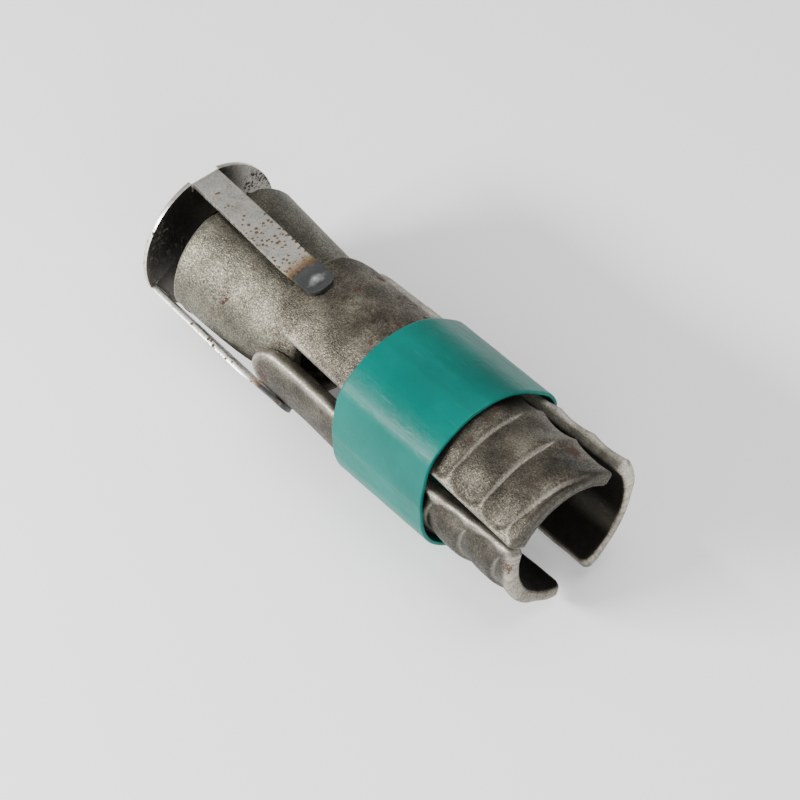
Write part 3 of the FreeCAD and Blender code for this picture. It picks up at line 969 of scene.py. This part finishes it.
def arm_stations():
    """the steps in which an arm is drawn out: the quarter bend, the run, and the round end"""
    length = RUN_END - OUTER_BEND
    return ([("bend", (i + 1) / BEND_STEPS) for i in range(BEND_STEPS)]
            + [("run", OUTER_BEND + length * (i + 1) / RUN_STEPS) for i in range(RUN_STEPS)]
            + [("round", (i + 1) / ROUND_STEPS) for i in range(ROUND_STEPS)])


def arm_frame(x, start, end):
    """angle and outer radius of an arm at x: it leans and turns to its leaf"""
    run = LAP_END - LAP_LENGTH - OUTER_BEND
    share = min(max((x - OUTER_BEND) / run, 0.0), 1.0)
    return math.radians(start + share * (end - start)), FOLD_R + share * (LAP_R - FOLD_R)


print("an arm has", len(arm_stations()), "stations")


# %% A point of an arm
def bend_point(value, wide, start):
    """a point of the quarter bend, from the disc to the arm"""
    theta = value * math.pi / 2
    angle = math.radians(start)
    radius = FOLD_R - OUTER_BEND + OUTER_BEND * math.sin(theta)
    x = OUTER_BEND * (1 - math.cos(theta))
    return outward(angle) * radius + sideways(angle) * wide + Vector((x, 0.0, 0.0))


def arm_point(kind, value, spread, start, end):
    """a point of the run or of the round end, and its distance from the weld from 0 to 1"""
    x, wide = value, spread
    if kind == "round":
        sweep = value * END_SWEEP
        x = RUN_END + 0.7 + END_ARC * math.sin(sweep)
        wide = spread * math.cos(sweep)
    angle, radius = arm_frame(x, start, end)
    # the weld left a dimple, and the lap is pressed to the curve of the leaf
    away = math.hypot(x - RUN_END, wide)
    radius -= DIMPLE_DEPTH * (1.0 - smoothstep(DIMPLE_R * 0.3, DIMPLE_R, away))
    radius -= smoothstep(TIP_X - 6.0, TIP_X, x) * wide ** 2 / (2.0 * LAP_R)
    point = outward(angle) * radius + sideways(angle) * wide + Vector((x, 0.0, 0.0))
    return point, min(math.hypot(x - RUN_END, TINT_ACROSS * wide) / TINT_REACH, 1.0)


# %% Draw out an arm
def extrude_row(bm, row):
    """draws a row of edges out once, and gives back the new edges and the new vertices"""
    made = bmesh.ops.extrude_edge_only(bm, edges=row)["geom"]
    row = [g for g in made if isinstance(g, bmesh.types.BMEdge)
           and all(v in made for v in g.verts)]
    return row, [g for g in made if isinstance(g, bmesh.types.BMVert)]


def draw_arm(bm, root, start, end, weld):
    """draws the rim edge out round the bend and along the arm to its round end"""
    angle = math.radians(start)
    bmesh.ops.subdivide_edges(bm, edges=root, cuts=ARM_COLUMNS // len(root) - 1)
    row = root_edges(bm, angle, 0.01)
    # how far across the arm each vertex lies, handed on from row to row
    spread = {v: v.co.dot(sideways(angle)) for e in row for v in e.verts}
    for kind, value in arm_stations():
        row, fresh = extrude_row(bm, row)
        drawn = {}
        for vert in fresh:
            for edge in vert.link_edges:
                other = edge.other_vert(vert)
                if other in spread:
                    drawn[vert] = spread[other]
        spread = drawn
        for vert, wide in spread.items():
            if kind == "bend":
                vert.co = bend_point(value, wide, start)
            else:
                vert.co, vert[weld] = arm_point(kind, value, wide, start, end)


# %% Build the bail
def make_bail():
    bm = bmesh.new()
    weld = bm.verts.layers.float.new("from_weld")
    bmesh.ops.create_circle(bm, cap_ends=True, segments=DISC_SEGMENTS, radius=DISC_R)
    upright = Matrix.Rotation(math.radians(90), 3, "Y")
    bmesh.ops.rotate(bm, cent=(0, 0, 0), matrix=upright, verts=bm.verts)
    roots = [cut_slits(bm, math.radians(start)) for start, end in ARM_ANGLES]
    for vert in bm.verts:
        vert[weld] = 1.0
    for root, (start, end) in zip(roots, ARM_ANGLES):
        draw_arm(bm, root, start, end, weld)
    bmesh.ops.recalc_face_normals(bm, faces=bm.faces)
    disc = max(bm.faces, key=lambda f: f.calc_area())
    if disc.normal.x > 0:
        bmesh.ops.reverse_faces(bm, faces=bm.faces)
    return to_object(bm, "bail_sheet", sheet_steel)


# %% [markdown]
# Solidify and Bevel finish the bail, and later the band in the same way. They stay live, so
# the wall can still be changed. The Bevel only takes edges that are sharper than 50 degrees,
# which leaves the soft bends alone.

# %% Wall and edges of a sheet
def give_wall(piece, wall, edge):
    """a wall inwards from the outer face, and edges that are broken by a small bevel"""
    solidify = piece.modifiers.new("wall", "SOLIDIFY")
    solidify.thickness = wall * MM
    solidify.offset = -1.0
    bevel = piece.modifiers.new("broken_edges", "BEVEL")
    bevel.width = edge * MM
    bevel.segments = 2
    bevel.limit_method = "ANGLE"
    bevel.angle_limit = math.radians(50)


bail = make_bail()
give_wall(bail, GAUGE, 0.12)
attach(bail, "shell")
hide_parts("bail")

# %% [markdown]
# ## The band
# A tight band is round where it lies on a leaf and straight where it crosses a gap. It could
# be shrunk onto the leaves as cloth, but its outline is easy to find: a ray from the axis meets
# either a leaf or the straight line between two leaves. The outline is then eased, drawn out
# along the bolt in rows, and given its wall.

# %% Sizes of the band
BAND_X, BAND_WIDTH, BAND_WALL = 61.9, 26.6, 0.8
BAND_GAP = 0.1
BAND_MIDDLE = (BAND_X + BAND_WIDTH / 2 - TIP_X) / LEAF_LENGTH
BAND_SPARE = BAND_WIDTH / 2 / LEAF_LENGTH
BAND_HALF = math.radians(48.4)
BAND_STEPS = 360
BAND_ROWS = 36
BAND_SWEEPS = 80
# the arch of the left leaf pushes the band out here
BULGE, BULGE_ANGLE, BULGE_HALF = 0.9, 214.0, 36.0
BOX_MARGIN = 0.1


def band_corners():
    """points round the outside of the three leaves, with room for the band's wall"""
    corners = []
    lift = LEAF_LENGTH * math.tan(SPLAY)
    for leaf in LEAVES.values():
        middle = math.radians(leaf["direction"])
        centre = outward(middle).yz * (BAND_MIDDLE * lift - LEAF_DROP)
        centre += Vector(leaf["lean"]) * BAND_MIDDLE
        spare = BAND_SPARE * (math.hypot(*leaf["lean"]) + lift)
        for i in range(-24, 25):
            reach = LEAF_R + BAND_GAP + BAND_WALL + spare
            corners.append(centre + outward(middle + BAND_HALF * i / 24.0).yz * reach)
    return corners


print("band outline starts from", len(band_corners()), "points")


# %% Outline of the band
def reach_of(corners, step):
    """how far out the outline is at a whole degree"""
    ray = outward(math.radians(step)).yz
    best = 0.0
    for a, b in zip(corners, corners[1:] + corners[:1]):
        along = b - a
        det = ray.x * -along.y + ray.y * along.x
        if abs(det) < 1e-9:
            continue
        t = (a.x * -along.y + a.y * along.x) / det
        u = (ray.x * a.y - ray.y * a.x) / det
        if -1e-6 <= u <= 1.000001 and t > best:
            best = t
    return best


def within_box(radius, step):
    """the radius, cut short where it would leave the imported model's box"""
    turn = math.radians(step)
    for reach, low, high in ((math.cos(turn), cad_low[1], cad_high[1]),
                             (math.sin(turn), cad_low[2], cad_high[2])):
        if abs(reach) > 0.1:
            radius = min(radius, ((high if reach > 0 else low) / MM / reach) - BOX_MARGIN)
    return radius


def band_outline():
    """radius of the band's outer face at each degree"""
    corners = band_corners()
    radii = [reach_of(corners, step) for step in range(BAND_STEPS)]
    for sweep in range(BAND_SWEEPS):
        radii = [(radii[i - 1] + 2 * radii[i] + radii[(i + 1) % BAND_STEPS]) / 4.0
                 for i in range(BAND_STEPS)]
    for step in range(BAND_STEPS):
        near = 1.0 - abs(step - BULGE_ANGLE) / BULGE_HALF
        radii[step] = within_box(radii[step] + BULGE * smoothstep(0.0, 1.0, near), step)
    return radii


# %% Build the band
def band_tube(bm, radii):
    """a ring at the disc side, set to the outline and extruded along the bolt"""
    bmesh.ops.create_circle(bm, segments=BAND_STEPS, radius=1.0)
    row = bm.edges[:]
    for vert in bm.verts:
        angle = math.atan2(vert.co.y, vert.co.x)
        radius = radii[round(math.degrees(angle)) % BAND_STEPS]
        vert.co = Vector((BAND_X, radius * math.cos(angle), radius * math.sin(angle)))
    for k in range(BAND_ROWS):
        row, fresh = extrude_row(bm, row)
        bmesh.ops.translate(bm, vec=(BAND_WIDTH / BAND_ROWS, 0, 0), verts=fresh)


def wear_band(bm):
    """soft waves over the face, and rims that were not cut quite straight"""
    for vert in bm.verts:
        out = Vector((0.0, vert.co.y, vert.co.z)).normalized()
        wave = 0.05 * noise.noise(vert.co / 6.0) + 0.02 * noise.noise(vert.co / 2.0)
        rim = 0.12 * noise.noise(out * 3.0) + 0.05 * noise.noise(out * 11.0)
        if vert.co.x < BAND_X + 0.1:
            vert.co.x += 0.12 + rim
        if vert.co.x > BAND_X + BAND_WIDTH - 0.1:
            vert.co.x -= 0.12 - rim
        vert.co += out * (wave - 0.03)


def make_band():
    radii = band_outline()
    print("band radius, mm:", round(min(radii), 2), "to", round(max(radii), 2))
    bm = bmesh.new()
    band_tube(bm, radii)
    wear_band(bm)
    bmesh.ops.recalc_face_normals(bm, faces=bm.faces)
    face = bm.faces[:][0]
    if face.normal.yz.dot(face.calc_center_median().yz) < 0:
        bmesh.ops.reverse_faces(bm, faces=bm.faces)
    return to_object(bm, "band_tube", band_plastic)


# %% The band in its place
band = make_band()
give_wall(band, BAND_WALL, 0.15)
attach(band, "shell")
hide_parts("retaining_band")

# %% [markdown]
# ## Finish
# The dressed shell has to stay in the box of the imported model.

# %% Finish
bpy.context.view_layer.update()
